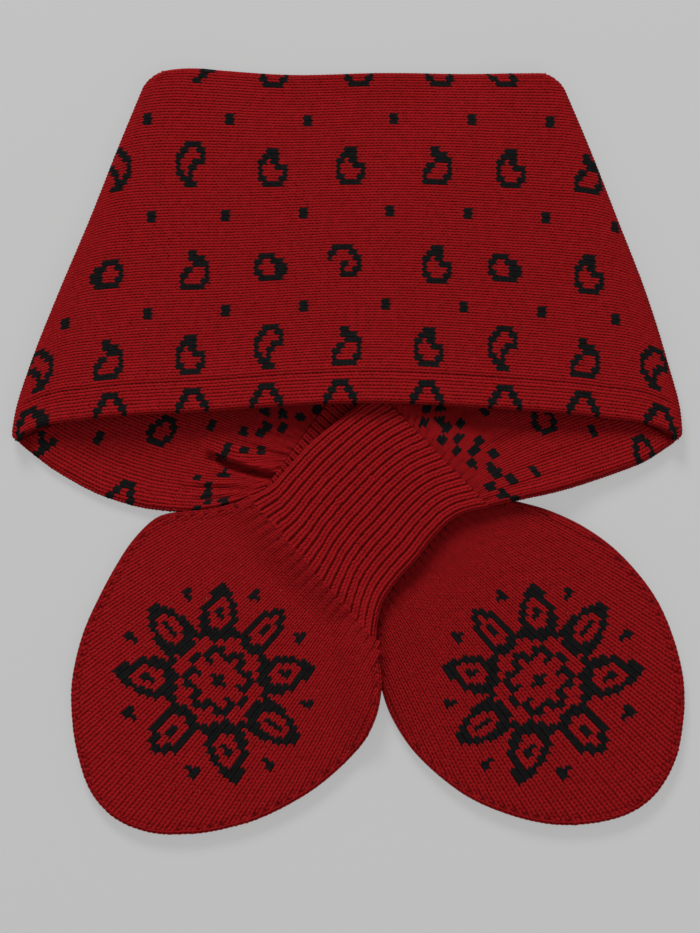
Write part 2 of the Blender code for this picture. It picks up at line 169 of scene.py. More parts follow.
BAND_SIDES = [
    Side(0.00, -79.8, 84.0), Side(0.20, -92.0, 96.4), Side(0.40, -103.7, 107.9),
    Side(0.60, -116.2, 119.2), Side(0.80, -127.8, 128.3), Side(0.92, -133.4, 132.9),
    Side(1.00, -135.3, 134.0),
]
BAND_TOP = [
    Level(0.00, 152.0), Level(0.04, 152.9), Level(0.08, 153.2), Level(0.16, 152.5),
    Level(0.35, 151.0), Level(0.58, 151.8), Level(0.82, 151.2), Level(1.00, 151.2),
]
BAND_LOWER = [
    Level(0.000, 4.6), Level(0.043, 9.6), Level(0.116, 12.8), Level(0.284, 15.8),
    Level(0.506, 19.2), Level(0.739, 16.8), Level(0.880, 13.4), Level(0.960, 9.8),
    Level(1.000, 5.0),
]
BAND_HEIGHT = BAND_TOP[0].y - BAND_LOWER[0].y  # at its left side

# The far stretches run from the fold to the neck, and the necks from the band to the paddle.
FAR_LEFT_LOWER = [
    (-132.0, 3.6), (-129.0, 1.0), (-124.2, -2.6), (-117.4, -7.6), (-101.4, -16.4),
    (-85.4, -21.7), (-75.2, -23.4), (-69.0, -24.0), (-62.0, -24.1), (-54.8, -23.2),
    (-48.7, -21.7), (-42.6, -19.6), (-34.0, -15.9),
]
FAR_LEFT_UPPER = [
    (-74.2, 143.2), (-43.0, 114.6), (-21.8, 90.6), (-9.0, 68.6), (-4.4, 48.0), (-2.0, 29.0),
]
FAR_RIGHT_LOWER = [
    (130.8, 3.8), (127.6, 1.6), (121.2, -2.5), (114.6, -5.8), (98.6, -11.5), (82.6, -16.2),
    (68.2, -19.4), (56.8, -22.0),
]
FAR_RIGHT_UPPER = [
    (77.4, 143.2), (48.0, 114.6), (28.0, 90.6), (15.6, 68.6), (12.4, 46.0), (11.6, 24.6),
]
NECK_BACK_LOWER = [
    (-33.6, -15.6), (-19.4, -33.0), (-4.0, -47.0), (10.5, -60.5),
]
NECK_BACK_UPPER = [
    (-1.6, 28.6), (16.6, 14.6), (34.6, -0.2), (50.1, -15.7),
]
NECK_FRONT_LOWER = [
    (56.4, -22.4), (47.4, -24.2), (40.6, -27.8), (33.8, -34.6), (27.0, -43.4),
    (19.4, -51.8), (13.8, -60.2), (11.6, -68.4), (11.0, -76.0),
]
NECK_FRONT_UPPER = [
    (11.2, 24.2), (2.2, 17.4), (-14.2, 4.2), (-24.6, -6.8), (-31.4, -13.9), (-39.6, -18.2),
]
PADDLE_LEFT = [
    (-39.8, -18.5), (-48.7, -21.3), (-57.4, -23.1), (-69.0, -24.2), (-76.9, -26.4),
    (-84.0, -32.6), (-90.8, -41.6), (-99.4, -57.0), (-106.6, -73.2), (-110.8, -91.0),
    (-110.9, -107.0), (-108.4, -122.4), (-102.9, -137.2), (-93.0, -147.5), (-79.4, -152.8),
    (-66.0, -153.5), (-52.4, -151.9), (-34.0, -146.5), (-13.4, -135.1), (3.2, -120.1),
    (10.6, -107.6), (13.3, -95.0), (12.8, -85.0), (10.8, -76.3),
]
PADDLE_RIGHT = [
    (50.4, -16.0), (69.4, -20.4), (81.0, -23.8), (94.2, -30.0), (107.0, -39.2),
    (118.4, -51.6), (125.8, -63.4), (131.2, -77.4), (134.4, -92.0), (134.4, -107.0),
    (131.1, -123.6), (123.0, -137.5), (110.0, -146.2), (90.0, -149.8), (70.2, -147.4),
    (48.0, -138.6), (29.0, -123.4), (18.2, -108.4), (13.0, -94.4), (11.2, -80.4),
    (10.8, -69.4), (10.8, -60.8),
]
PADDLE_LEFT_MIDDLE = Point(-47.0, -88.0)
PADDLE_RIGHT_MIDDLE = Point(71.0, -88.0)
# The wales of a paddle fan out from a point behind its neck.
PADDLE_LEFT_FAN = Point(84.0, 56.0)
PADDLE_RIGHT_FAN = Point(-44.0, 38.0)

# The creases, as soft troughs from one point to another, and ridges where deep is negative.
FAR_LEFT_TROUGHS = [
    Trough(-55.0, -2.8, -27.0, -11.2, 1.9, 4.2),
    Trough(-56.0, 3.0, -31.0, -6.2, 2.6, -2.3),
    Trough(-66.0, -14.4, -40.0, -15.4, 1.6, 1.3),
    Trough(-60.0, -19.4, -42.0, -17.6, 1.3, 0.9),
    Trough(-44.0, 4.0, -22.0, -3.4, 1.2, 0.8),
    Trough(-38.0, 9.0, -18.0, 4.0, 1.2, 0.8),
    Trough(-108.0, 2.0, -82.0, -12.0, 4.0, 0.6),
    Trough(-124.0, -1.0, -52.0, -10.0, 12.0, 2.4),
]
FAR_RIGHT_TROUGHS = [
    Trough(96.0, 3.0, 58.0, -12.0, 2.4, 0.9),
    Trough(84.0, -8.0, 60.0, -16.0, 1.7, 0.8),
    Trough(80.0, 14.0, 46.0, -3.0, 2.4, 0.9),
    Trough(64.0, 22.0, 30.0, 8.0, 2.4, 0.8),
    Trough(120.0, -2.0, 66.0, -17.0, 13.0, -1.4),
]
BAND_TROUGHS = [
    Trough(-96.0, 60.0, -84.0, 104.0, 9.0, 0.6),
    Trough(-60.0, 36.0, -30.0, 58.0, 9.0, 0.6),
    Trough(-30.0, 142.0, 26.0, 140.0, 7.0, 0.7),
    Trough(60.0, 40.0, 92.0, 66.0, 10.0, 0.6),
]
PADDLE_RIGHT_TROUGHS = [
    Trough(20.0, -50.0, 42.0, -46.0, 8.0, 1.1),
    Trough(44.0, -34.0, 62.0, -38.0, 6.0, 0.6),
]
PADDLE_LEFT_TROUGHS = [
    Trough(-60.0, -36.0, -30.0, -58.0, 8.0, 0.5),
]

# ------------------------------------------------------------------ the pattern

# Small motifs as stitch charts: a column for each course and a line for each wale.
CHARTS = {
    "dot": ["XX", "XX"],
    "comma": [
        "..XXXX.",
        ".XX..XX",
        "XX....X",
        "X...XXX",
        "X..XX..",
        "XX.X...",
        ".XXX...",
        "..XXX..",
    ],
    "curl": [
        "..XXX..",
        ".XXXX..",
        "XX.XX..",
        "X...XXX",
        "X.....X",
        "XX...XX",
        ".XXXXX.",
    ],
    "hook": [
        "..XX...",
        "..XXXX.",
        "...XXXX",
        ".XX...X",
        "XX....X",
        "X....XX",
        "XXXXXX.",
    ],
    "bean": [
        ".XXXX...",
        "XX..XXX.",
        "X....XXX",
        "XX...XXX",
        ".XXXXXX.",
    ],
    "cap": [
        ".XXXXX..",
        "XX...XX.",
        "X.....XX",
        "...XX..X",
        "...X..XX",
        "...XXXX.",
    ],
    "arch": [
        "..XXXX..",
        ".XX..XX.",
        "XX....XX",
        "X......X",
        "..XX..XX",
    ],
    "ring": [
        "..XXXX.",
        ".XX..XX",
        "XX....X",
        "XX...XX",
        ".XXXXX.",
    ],
    "tail": [
        "XX..XX.",
        ".XXXX..",
        "..XX...",
        ".XX....",
    ],
    "cup": [
        "X.....X",
        "XX...XX",
        ".XXXXX.",
    ],
}

# The band's repeat, by height at its middle: the places of each motif, and "~" turns it round.
BAND_ROWS = [
    Row(149.6, {"tail": [-57.8], "cup": [-30.2, 3.4, 37.4, 62.6]}),
    Row(132.0, {"dot": [-79.0, -47.0, -15.8, 18.2, 49.8, 81.0]}),
    Row(113.6, {
        "~comma": [-93.4], "comma": [-62.6], "curl": [-30.2, 0.6, 64.6], "hook": [35.4, 96.6],
    }),
    Row(94.4, {"dot": [-78.6, -48.2, -17.0, 17.4, 48.6, 79.0, 107.4]}),
    Row(76.0, {
        "~bean": [-96.6], "hook": [-62.2], "bean": [-30.2, 62.6], "cap": [-0.6],
        "curl": [34.6, 95.4],
    }),
    Row(57.8, {"dot": [-113.0, -79.4, -48.2, -17.8, 16.2, 46.6, 77.4, 107.8]}),
    Row(42.4, {
        "~comma": [-124.6], "hook": [-95.8, -1.0, 94.6], "curl": [-62.6, 31.4],
        "comma": [-31.8, 61.0, 122.6],
    }),
    Row(23.2, {
        "bean": [-125.8], "arch": [-94.6, -31.8, -2.6, 94.6, 125.4], "~arch": [-61.4, 31.4, 63.4],
    }),
]
FAR_LEFT_MOTIFS = {
    "dot": [(-99.4, 4.6)],
    "ring": [(-75.4, 8.6)],
    "arch": [(-90.4, -18.0)],
    "tail": [(-121.6, 0.6)],
}
FAR_RIGHT_MOTIFS = {
    "dot": [(99.4, 7.0), (75.8, -9.4), (56.2, 15.8)],
    "ring": [(117.6, -0.2), (78.4, 12.8)],
}
# The chequered border before each neck, as spots of black yarn of this radius.
SPOT = 2.05
FAR_LEFT_SPOTS = [
    (-54.8, 10.6), (-42.2, 7.5), (-35.4, 7.0), (-32.6, 10.2), (-26.4, 9.6), (-33.4, 16.0),
    (-26.4, 15.1), (-19.4, 13.9), (-12.6, 17.0), (-49.0, 1.0), (-50.9, -2.3), (-41.4, 0.4),
    (-35.0, 0.2), (-60.7, -10.9), (-50.0, -9.4), (-56.4, -14.4), (-56.4, -16.4),
    (-56.4, -18.4), (-50.0, -20.4), (-60.7, -22.8),
]
FAR_RIGHT_SPOTS = [
    (31.0, 17.4), (36.6, 17.8), (30.2, 11.8), (36.6, 12.6), (39.0, 9.6), (44.6, 11.4),
    (37.4, 4.6), (44.2, 5.4), (52.2, 4.6), (43.4, 0.4), (50.2, 0.4), (58.2, -1.0),
    (49.4, -5.0), (57.0, -6.0), (59.4, -8.8), (65.0, -11.0), (56.6, -14.2), (61.8, -17.2),
    (66.2, -18.6),
]

# A paddle's medallion: a dot, a scalloped ring, eight leaves round it and dots between them.
MEDALLION_OFF = Point(5.5, -3.0)  # its middle from the paddle's, x away from the other paddle
LINE = 1.45  # half the width of its lines
HEART = 2.6
RING = 8.6
SCALLOP = 4.0
LEAF_AT = 27.5  # from the medallion's middle to a leaf's
LEAF_LONG = 9.5  # half its length
LEAF_HALF = 5.6  # half its width
LEAF_TAPER = 0.3
VEIN_HALF = 1.1
VEIN_LONG = 2.6
MEDALLION_DOTS = [Dot(19.5, 2.1), Dot(37.5, 2.3)]

# ------------------------------------------------------------------ yarn, colours and light

# A pair of legs is one stitch: sizes along it in courses, across it in wales, then in millimetres.
BAND_LEG = Leg(0.76, 0.250, 0.095, 0.295, 0.20, 0.14, 0.09)
JERSEY = Leg(0.80, 0.245, 0.105, 0.290, 0.21, 0.15, 0.10)
RIB_LEG = Leg(0.82, 0.205, 0.080, 0.245, 0.21, 0.15, 0.10)
CHAIN = Leg(0.66, 0.220, 0.110, 0.245, 0.27, 0.24, 0.16)
SEAM_LEG = Leg(0.42, 0.090, 0.110, 0.120, 0.24, 0.12, 0.10)
LEG_AHEAD = 0.06  # the legs' middle lies this much of a course ahead of the stitch's
GRAIN_HALF = 0.866  # half the width of a leg's section, a triangle round a radius of 1
UNEVEN = 0.05  # how much the stitches differ in size
UNEVEN_ASIDE = 0.4  # and how much less they stray to the side than along
FILL_WIDE = 0.50  # the leg that fills a black stitch: how wide, and how much deeper it lies
FILL_SUNK = 0.10
BLACK_WIDER = 1.10  # than red legs
BLACK_LONGER = 1.22

RED = (0.208, 0.0046, 0.0060)
RED_DEEP = (0.172, 0.0038, 0.0050)
BLACK = (0.0055, 0.0055, 0.0058)
BLACK_DEEP = (0.0030, 0.0030, 0.0032)
# The band's linking seam is of a dark red: painted shade of the holes along the seam.
SEAM_SHADE_RED = (0.045, 0.0016, 0.0020)
# The paddles' linking seam is of a darker red: painted shade of the holes along the seam.
RIM_SEAM_SHADE_RED = (0.120, 0.0030, 0.0038)
FLOOR_GREY = (0.15, 0.15, 0.15)
FLOOR_GLOW = 0.375
WHITE = (1, 1, 1, 1)

# Power and, in metres, place and width of the lamps.
WORLD_LIGHT = 0.44
KEY_LIGHT = 66.0
KEY_PLACE = (-0.56, 2.16, 1.52)
KEY_WIDE = 0.96
FILL_LIGHT = 3.0
FILL_PLACE = (0.8, -0.5, 1.6)
FILL_LAMP_WIDE = 1.6

# What the camera takes in, straight from above.
FRAME_MIDDLE = Point(0.6, -6.0)
FRAME_HEIGHT = 373.2
FRAME_LEVEL = 6.0
CAMERA_UP = 1600.0
SENSOR = 36.0

rng = np.random.default_rng(11)
laid = {}  # places on the upper side of each finished piece, by its name
mats = {}


def unit(vectors):
    return vectors / np.maximum(np.linalg.norm(vectors, axis=-1, keepdims=True), 1e-9)


def soft_step(value):
    """0 below 0, 1 above 1, and smooth between."""
    value = np.clip(value, 0, 1)
    return value * value * (3 - 2 * value)


def smooth_read(table, at, name):
    """A value of a table's rows at places between them, without kinks."""
    places = np.array([row[0] for row in table])
    values = np.array([getattr(row, name) for row in table])
    slopes = np.gradient(values, places)
    at = np.clip(at, places[0], places[-1])
    i = np.clip(np.searchsorted(places, at) - 1, 0, len(places) - 2)
    step = places[i + 1] - places[i]
    t = (at - places[i]) / step
    rise = values[i] * (1 + 2 * t) * (1 - t) ** 2 + values[i + 1] * t**2 * (3 - 2 * t)
    return rise + step * (slopes[i] * t * (1 - t) ** 2 - slopes[i + 1] * t**2 * (1 - t))


class Path:
    """A smooth curve through a table's points, read by the share of its length."""

    def __init__(self, points):
        p = np.array(points, float)
        p = np.vstack([2 * p[0] - p[1], p, 2 * p[-1] - p[-2]])
        steps = np.linspace(0, 1, 24, endpoint=False)[:, None]
        fine = []
        for a, b, c, d in zip(p, p[1:], p[2:], p[3:]):
            bend = (2 * a - 5 * b + 4 * c - d) * steps**2
            twist = (3 * b - 3 * c + d - a) * steps**3
            fine.append(0.5 * (2 * b + (c - a) * steps + bend + twist))
        self.points = np.vstack(fine + [p[-2:-1]])
        gone = np.cumsum(np.linalg.norm(np.diff(self.points, axis=0), axis=1))
        self.gone = np.r_[0, gone]
        self.length = gone[-1]

    def at(self, share):
        """The place at a share of the length, going straight on past either end."""
        along = np.asarray(share) * self.length
        place = np.stack([np.interp(along, self.gone, self.points[:, k]) for k in (0, 1)], axis=-1)
        before = np.clip(along, -OVER_END, 0)[..., None] * unit(self.points[1] - self.points[0])
        past = np.clip(along - self.length, 0, OVER_END)[..., None]
        return place + before + past * unit(self.points[-1] - self.points[-2])


def lie_on(lower_pieces, held=HELD, down=DOWN):
    """A raster of the height of cloth that lies over these pieces, and on the floor past them."""
    height = np.zeros((len(RASTER_Y), len(RASTER_X)))
    reach = int(down) + 1
    for name in lower_pieces:
        for x, y, z in laid[name]:
            j, i = int(x - RASTER_X[0]), int(y - RASTER_Y[0])
            rows = slice(max(i - reach, 0), i + reach + 2)
            columns = slice(max(j - reach, 0), j + reach + 2)
            away = np.hypot(RASTER_Y[rows, None] - y, RASTER_X[None, columns] - x)
            share = 1 - soft_step((away - held) / (down - held))
            height[rows, columns] = np.maximum(height[rows, columns], (z + GAP) * share)
    return height


def height_at(raster, x, y):
    """The raster's height at any places, smooth between its points."""
    column = np.clip(x - RASTER_X[0], 0, len(RASTER_X) - 1.01)
    row = np.clip(y - RASTER_Y[0], 0, len(RASTER_Y) - 1.01)
    i, j = row.astype(int), column.astype(int)
    v, u = row - i, column - j
    near = raster[i, j] * (1 - u) + raster[i, j + 1] * u
    far = raster[i + 1, j] * (1 - u) + raster[i + 1, j + 1] * u
    return near * (1 - v) + far * v


def turn(way, radius):
    """How far inside an edge a way over its cloth leads, and the share of the height there.

    The way starts at the middle of the edge's rounding, where the share is 0.
    """
    angle = np.clip(way / radius, -math.pi / 2, math.pi / 2)
    inside = radius * (1 - np.cos(angle)) + np.maximum(np.abs(way) - radius * math.pi / 2, 0)
    return inside, np.sin(angle)


def felt(t, x, y):
    """How strongly each place feels a trough, from 0 to 1."""
    wx, wy = t.x2 - t.x1, t.y2 - t.y1
    along = np.clip(((x - t.x1) * wx + (y - t.y1) * wy) / (wx * wx + wy * wy), 0, 1)
    away = np.hypot(x - t.x1 - along * wx, y - t.y1 - along * wy)
    fade = np.sin(math.pi * np.clip(along, 0.06, 0.94)) ** 0.5
    return fade * np.exp(-((away / t.wide) ** 2))


def trough_depth(x, y, troughs):
    return sum((t.deep * felt(t, x, y) for t in troughs), np.zeros(np.shape(x)))


def ridge_lean(x, y, troughs):
    """How far the narrow ridges lean towards the lower edge, over the creases beside them."""
    ridges = [t for t in troughs if t.deep < 0 and t.wide < NARROW]
    return sum((-t.deep * LEAN * felt(t, x, y) for t in ridges), np.zeros(np.shape(x)))


def groove(way, middle, wide):
    """1 at the middle of a seam's groove, and 0 past its width."""
    return np.exp(-(((way - middle) / wide) ** 2))


def rib_valley(w):
    """0 on top of each rib and 1 between two ribs."""
    return 1 - np.abs(np.sin(math.pi * w)) ** 0.7


# ------------------------------------------------------------------ surfaces


class Strip:
    """The surface of a flattened tube of knit between two long edges, by course and wale.

    Towards its far end the wales crowd together at the upper edge.
    """

    def __init__(self, edges, thick, under, wales, course, troughs=(), crowd=0.0, ribbed=False):
        self.low_path, self.high_path = map(Path, edges)
        self.length = (self.low_path.length + self.high_path.length) / 2
        self.thick = thick
        self.under = under
        self.wales = wales
        self.courses = self.length / course
        self.course = course
        self.troughs = troughs
        self.crowd = crowd
        self.ribbed = ribbed

    def __call__(self, c, w):
        c, w = np.broadcast_arrays(np.asarray(c, float), np.asarray(w, float))
        share = c * self.course / self.length
        a, b = self.low_path.at(share), self.high_path.at(share)
        width = np.linalg.norm(b - a, axis=-1)
        over = width + 2 * EDGE_TURN
        part = w / self.wales
        power = 1 - self.crowd * np.clip(share, 0, 1)
        crowded = np.sign(part) * np.abs(np.clip(part, -1, 1)) ** power
        way = over * (crowded + np.maximum(part - 1, 0))
        from_low, low_share = turn(way, EDGE_ROUND)
        from_high, high_share = turn(over - way, EDGE_ROUND)
        lower_half = way < over / 2
        inside = np.where(lower_half, from_low, width - from_high)
        side = np.where(lower_half, low_share, high_share)
        plan = a + (b - a) * (inside / width)[..., None]
        x, y = plan[..., 0], plan[..., 1]
        on_top = np.maximum(side, 0)
        z = height_at(self.under, x, y) + self.thick / 2 * (1 + side)
        z = z - trough_depth(x, y, self.troughs) * on_top
        y = y - ridge_lean(x, y, self.troughs) * on_top
        to_end = (1 - share) * self.length
        if self.ribbed:
            z = z - RIB_DEEP * rib_valley(w) * soft_step(side * 1.5)
            z = z - RIB_DROP * (1 - soft_step(to_end / RIB_FADE)) * on_top
        else:
            fade = 1 - soft_step(to_end / RIB_PAST)
            z = z - RIB_DEEP * rib_valley(RIBS * inside / width) * fade * on_top
        return np.stack([x, y, z], axis=-1)


def wale_height(w):
    """The height above the band's lower edge, over the cloth, of each wale."""
    hem = (HEM + EDGE_TURN) / HEM_WALES
    body = (BAND_HEIGHT + EDGE_TURN - HEM) / WALES
    w = np.asarray(w, float)
    return np.where(w < HEM_WALES, w * hem - EDGE_TURN, HEM + (w - HEM_WALES) * body)


def band_edges(down):
    """The x of the band's left and right side, at these shares of the way down."""
    return smooth_read(BAND_SIDES, down, "left"), smooth_read(BAND_SIDES, down, "right")


def wale_edges(w):
    return band_edges(np.clip(1 - wale_height(w) / BAND_HEIGHT, 0, 1))


def band_lower(x):
    """The y of the near stretch's lower edge."""
    left, right = BAND_SIDES[-1].left, BAND_SIDES[-1].right
    return smooth_read(BAND_LOWER, (x - left) / (right - left), "y")


def corner_inset(corner, to_end, to_side):
    """How far a rounded corner draws the cloth in, at these ways from its end and its side."""
    to_turn = corner.radius - np.clip(to_end + CORNER_CUT, 0, corner.radius)
    inset = corner.radius - np.sqrt(corner.radius**2 - to_turn**2)
    return inset * np.clip(1 - to_side / corner.reach, 0, 1)


class NearStretch:
    """The near stretch's upper layer: its courses stand upright, and both its sides are folds."""

    def __init__(self, over):
        self.over = over

    def __call__(self, c, w):
        c, w = np.broadcast_arrays(np.asarray(c, float), np.asarray(w, float))
        up = wale_height(w)
        from_low, low_share = turn(up + EDGE_TURN, EDGE_ROUND)
        from_high, high_share = turn(BAND_HEIGHT - up + EDGE_TURN, EDGE_ROUND)
        lower_half = up < BAND_HEIGHT / 2
        rise = np.where(lower_half, from_low, BAND_HEIGHT - from_high)
        end = np.where(lower_half, low_share, high_share)
        left, right = band_edges(1 - rise / BAND_HEIGHT)
        x = c * COURSE
        from_left, left_share = turn(x - left + FOLD_TURN, FOLD_ROUND)
        from_right, right_share = turn(right - x + FOLD_TURN, FOLD_ROUND)
        left_half = x < (left + right) / 2
        side = np.where(left_half, left_share, right_share)
        to_side = np.where(left_half, from_left, from_right)
        x = np.where(left_half, left + from_left, right - from_right)
        across = (x - left) / (right - left)
        # The rows below the two long edges are drawn in as far as the edges themselves.
        to_end = np.where(end > 0, np.where(lower_half, rise, BAND_HEIGHT - rise), 0)
        low_inset = corner_inset(LOW_CORNER, to_end, to_side)
        top_inset = corner_inset(TOP_CORNER, to_end, to_side)
        x = x + np.where(left_half, 1, -1) * np.where(lower_half, low_inset, top_inset)
        high = smooth_read(BAND_TOP, across, "y")
        low = smooth_read(BAND_LOWER, across, "y")
        over_even = (rise - LOW_EVEN) / (BAND_HEIGHT - LOW_EVEN) * (high - low - LOW_EVEN)
        y = low + np.where(rise < LOW_EVEN, rise, LOW_EVEN + over_even)
        hang = np.clip(to_side - HANG_FROM, 0, HANG)
        hang = hang * (1 - soft_step((to_side - HANG_UP_TO) / HANG_END))
        y = y - hang * (1 - soft_step(rise / HANG_HIGH))
        crest = height_at(self.over, x, y) + BAND
        dips = SEAM_DEEP * groove(up, HEM, SEAM_WIDE) + trough_depth(x, y, BAND_TROUGHS)
        dips = dips * soft_step(to_side / 6) * np.maximum(end, 0)
        z = crest - dips - np.hypot((1 - side) * crest, (1 - end) * BAND) / 2
        return np.stack([x, y, np.maximum(z, 0.1)], axis=-1)


class Paddle:
    """A rounded paddle of two faces, and the fan of wales on the face that shows."""

    def __init__(self, outline, middle, fan, troughs, under):
        free = Path(outline).points
        join = np.linspace(free[-1], free[0], 60)[1:-1]
        self.rim = np.vstack([free, join])
        self.middle = np.array(middle)
        self.fan = np.array(fan)
        self.troughs = troughs
        self.under = under
        self.join_ends = (np.array(outline[0]), np.array(outline[-1]))
        off = self.rim - self.middle
        self.rim_angles = np.unwrap(np.arctan2(off[:, 1], off[:, 0]))
        order = np.argsort(self.rim_angles)
        self.angles = self.rim_angles[order]
        self.reaches = np.linalg.norm(off, axis=1)[order]
        self.fan_length = np.linalg.norm(self.middle - self.fan)
        self.fan_angle = math.atan2(*(self.middle - self.fan)[::-1])

    def reach(self, angle):
        return np.interp(angle, self.angles, self.reaches, period=2 * math.pi)

    def place(self, angle, reach):
        """The place this far from the middle, in the angle's direction."""
        return self.middle[0] + reach * np.cos(angle), self.middle[1] + reach * np.sin(angle)

    def inside(self, x, y):
        """How far inside the rim each place is, towards the middle."""
        dx, dy = x - self.middle[0], y - self.middle[1]
        return self.reach(np.arctan2(dy, dx)) - np.hypot(dx, dy)

    def from_neck(self, x, y):
        first, last = self.join_ends
        way = unit(last - first)
        return np.abs((x - first[0]) * -way[1] + (y - first[1]) * way[0])

    def joined(self, x, y):
        """1 along the line where the neck joins, and 0 past it."""
        return 1 - soft_step((self.from_neck(x, y) - 1) / 5)

    def rounding(self, x, y):
        """The rim's radius, sharp where the neck joins."""
        joined = self.joined(x, y)
        return FACE / 2 * (1 - joined) + NECK_ROUND * joined

    def low(self, x, y):
        return height_at(self.under, x, y)

    def ribs(self, x, y):
        """How deep the neck's ribs still are, as they die out past it along the wales."""
        first, last = self.join_ends
        way, to_first = last - first, first - self.fan
        dx, dy = x - self.fan[0], y - self.fan[1]
        along = (to_first[0] * dy - to_first[1] * dx) / (way[1] * dx - way[0] * dy)
        fade = 1 - soft_step(self.from_neck(x, y) / RIB_PAST)
        return RIB_DEEP * rib_valley(RIBS * (1 - along)) * fade

    def crown(self, away):
        return PADDLE_CROWN * soft_step(away / CROWN_REACH)

    def relief(self, x, y, away):
        seam = groove(away, RIM_SEAM, RIM_SEAM_WIDE) * soft_step((self.from_neck(x, y) - 4) / 6)
        dips = RIM_SEAM_DEEP * seam + self.ribs(x, y) + trough_depth(x, y, self.troughs)
        return self.crown(away) - dips

    def top(self, x, y, away, share):
        low = self.low(x, y) + FACE + GAP
        return low + FACE / 2 + share * (FACE / 2 + self.relief(x, y, away))

    def knit_surface(self, c, w):
        """The fan of stitches on the upper face."""
        c, w = np.broadcast_arrays(np.asarray(c, float), np.asarray(w, float))
        radius = self.fan_length + c * PADDLE_COURSE
        angle = self.fan_angle + w * PADDLE_WALE / self.fan_length
        x = self.fan[0] + radius * np.cos(angle)
        y = self.fan[1] + radius * np.sin(angle)
        away = self.inside(x, y)
        q = np.clip(away / self.rounding(x, y), 0, 1)
        share = np.maximum(np.sqrt(1 - (1 - q) ** 2), self.joined(x, y))
        return np.stack([x, y, self.top(x, y, away, share)], axis=-1)

    def rim_surface(self, angle, way):
        """Places on the upper face: round by angle, and by the way over the cloth from the rim."""
        reach = self.reach(angle)
        away, share = turn(way, self.rounding(*self.place(angle, reach)))
        x, y = self.place(angle, reach - away)
        return np.stack([x, y, self.top(x, y, away, share)], axis=-1)


# ------------------------------------------------------------------ yarn and cloth

def new_material(name, colour, roughness, sheen, tint):
    mat = bpy.data.materials.new(name)
    mat.use_nodes = True
    shader = mat.node_tree.nodes["Principled BSDF"]
    shader.inputs["Base Color"].default_value = (*colour, 1)
    shader.inputs["Roughness"].default_value = roughness
    shader.inputs["Specular IOR Level"].default_value = 0.06
    shader.inputs["Sheen Weight"].default_value = sheen
    shader.inputs["Sheen Roughness"].default_value = 0.6
    shader.inputs["Sheen Tint"].default_value = (*tint, 1)
    return mat, shader


class Nodes:
    """The shading nodes of a material, and the links between them."""

    def __init__(self, mat, shader):
        self.nodes = mat.node_tree.nodes
        self.links = mat.node_tree.links
        self.shader = shader
        self.place = self.nodes.new("ShaderNodeTexCoord").outputs

    def noise(self, scale, detail, rough):
        texture = self.nodes.new("ShaderNodeTexNoise")
        texture.inputs["Scale"].default_value = scale
        texture.inputs["Detail"].default_value = detail
        texture.inputs["Roughness"].default_value = rough
        self.links.new(self.place["Object"], texture.inputs["Vector"])
        return texture.outputs["Fac"]

    def math(self, kind, first, second=None):
        node = self.nodes.new("ShaderNodeMath")
        node.operation = kind
        for socket, value in zip(node.inputs, (first, second)):
            if isinstance(value, (int, float)):
                socket.default_value = value
            elif value is not None:
                self.links.new(value, socket)
        return node.outputs[0]

    def colour(self, value, stops):
        """Colours the material by a value, through stops of value and colour."""
        node = self.nodes.new("ShaderNodeValToRGB")
        elements = node.color_ramp.elements
        for element, (position, colour) in zip(elements, (stops[0], stops[-1])):
            element.position, element.color = position, (*colour, 1)
        for position, colour in stops[1:-1]:
            elements.new(position).color = (*colour, 1)
        self.links.new(value, node.inputs["Fac"])
        self.links.new(node.outputs["Color"], self.shader.inputs["Base Color"])

    def bump(self, height, strength, distance):
        node = self.nodes.new("ShaderNodeBump")
        node.inputs["Strength"].default_value = strength
        node.inputs["Distance"].default_value = distance
        self.links.new(height, node.inputs["Height"])
        self.links.new(node.outputs["Normal"], self.shader.inputs["Normal"])


def scaled(colour, factor):
    return tuple(c * factor for c in colour)


def yarn_material(name, colour, deep):
    """Woollen yarn: two plies twisted together, with loose fibre and uneven dye."""
    mat, shader = new_material(name, colour, 0.92, 0.12, scaled(colour, 3.0))
    tree = Nodes(mat, shader)
    uneven = tree.noise(420.0, 3.0, 0.6)
    fibre = tree.noise(3600.0, 3.0, 0.7)
    dye = tree.math("ADD", tree.math("MULTIPLY", uneven, 0.6), tree.math("MULTIPLY", fibre, 0.4))
    stops = [(0.34, scaled(deep, 1.15)), (0.50, scaled(colour, 1.15)), (0.66, scaled(colour, 1.35))]
    tree.colour(dye, stops)
    twist = tree.nodes.new("ShaderNodeTexWave")
    twist.bands_direction = "DIAGONAL"
    twist.inputs["Scale"].default_value = 1.6
    twist.inputs["Distortion"].default_value = 0.6
    tree.links.new(tree.place["UV"], twist.inputs["Vector"])
    height = tree.math("ADD", tree.math("MULTIPLY", twist.outputs["Fac"], 0.6), fibre)
    tree.bump(height, 0.5, 0.00012)
    return mat


def cloth_material(name, colour, deep):
    """The cloth below the stitches, a darker red for painted shade: its UV counts courses and
    wales, and a wale has two legs.
    """
    mat, shader = new_material(name, colour, 0.95, 0.10, scaled(colour, 3.0))
    tree = Nodes(mat, shader)
    split = tree.nodes.new("ShaderNodeSeparateXYZ")
    tree.links.new(tree.place["UV"], split.inputs["Vector"])
    course, wale = split.outputs["X"], split.outputs["Y"]
    off_middle = tree.math("SUBTRACT", tree.math("FRACT", wale), 0.5)
    slanted = tree.math("ADD", course, tree.math("ABSOLUTE", off_middle))
    leg = tree.math("SINE", tree.math("MULTIPLY", slanted, math.pi))
    ridge = tree.math("SINE", tree.math("MULTIPLY", wale, 2 * math.pi))
    height = tree.math("MULTIPLY", tree.math("ABSOLUTE", leg), tree.math("ABSOLUTE", ridge))
    # Painted shade: the ramp darkens the colour in the hollows between the legs.
    tree.colour(height, [(0.0, scaled(deep, 0.6)), (0.35, deep), (0.9, colour)])
    fibre = tree.math("MULTIPLY", tree.noise(2600.0, 3.0, 0.7), 0.3)
    tree.bump(tree.math("ADD", height, fibre), 0.7, 0.0004)
    return mat


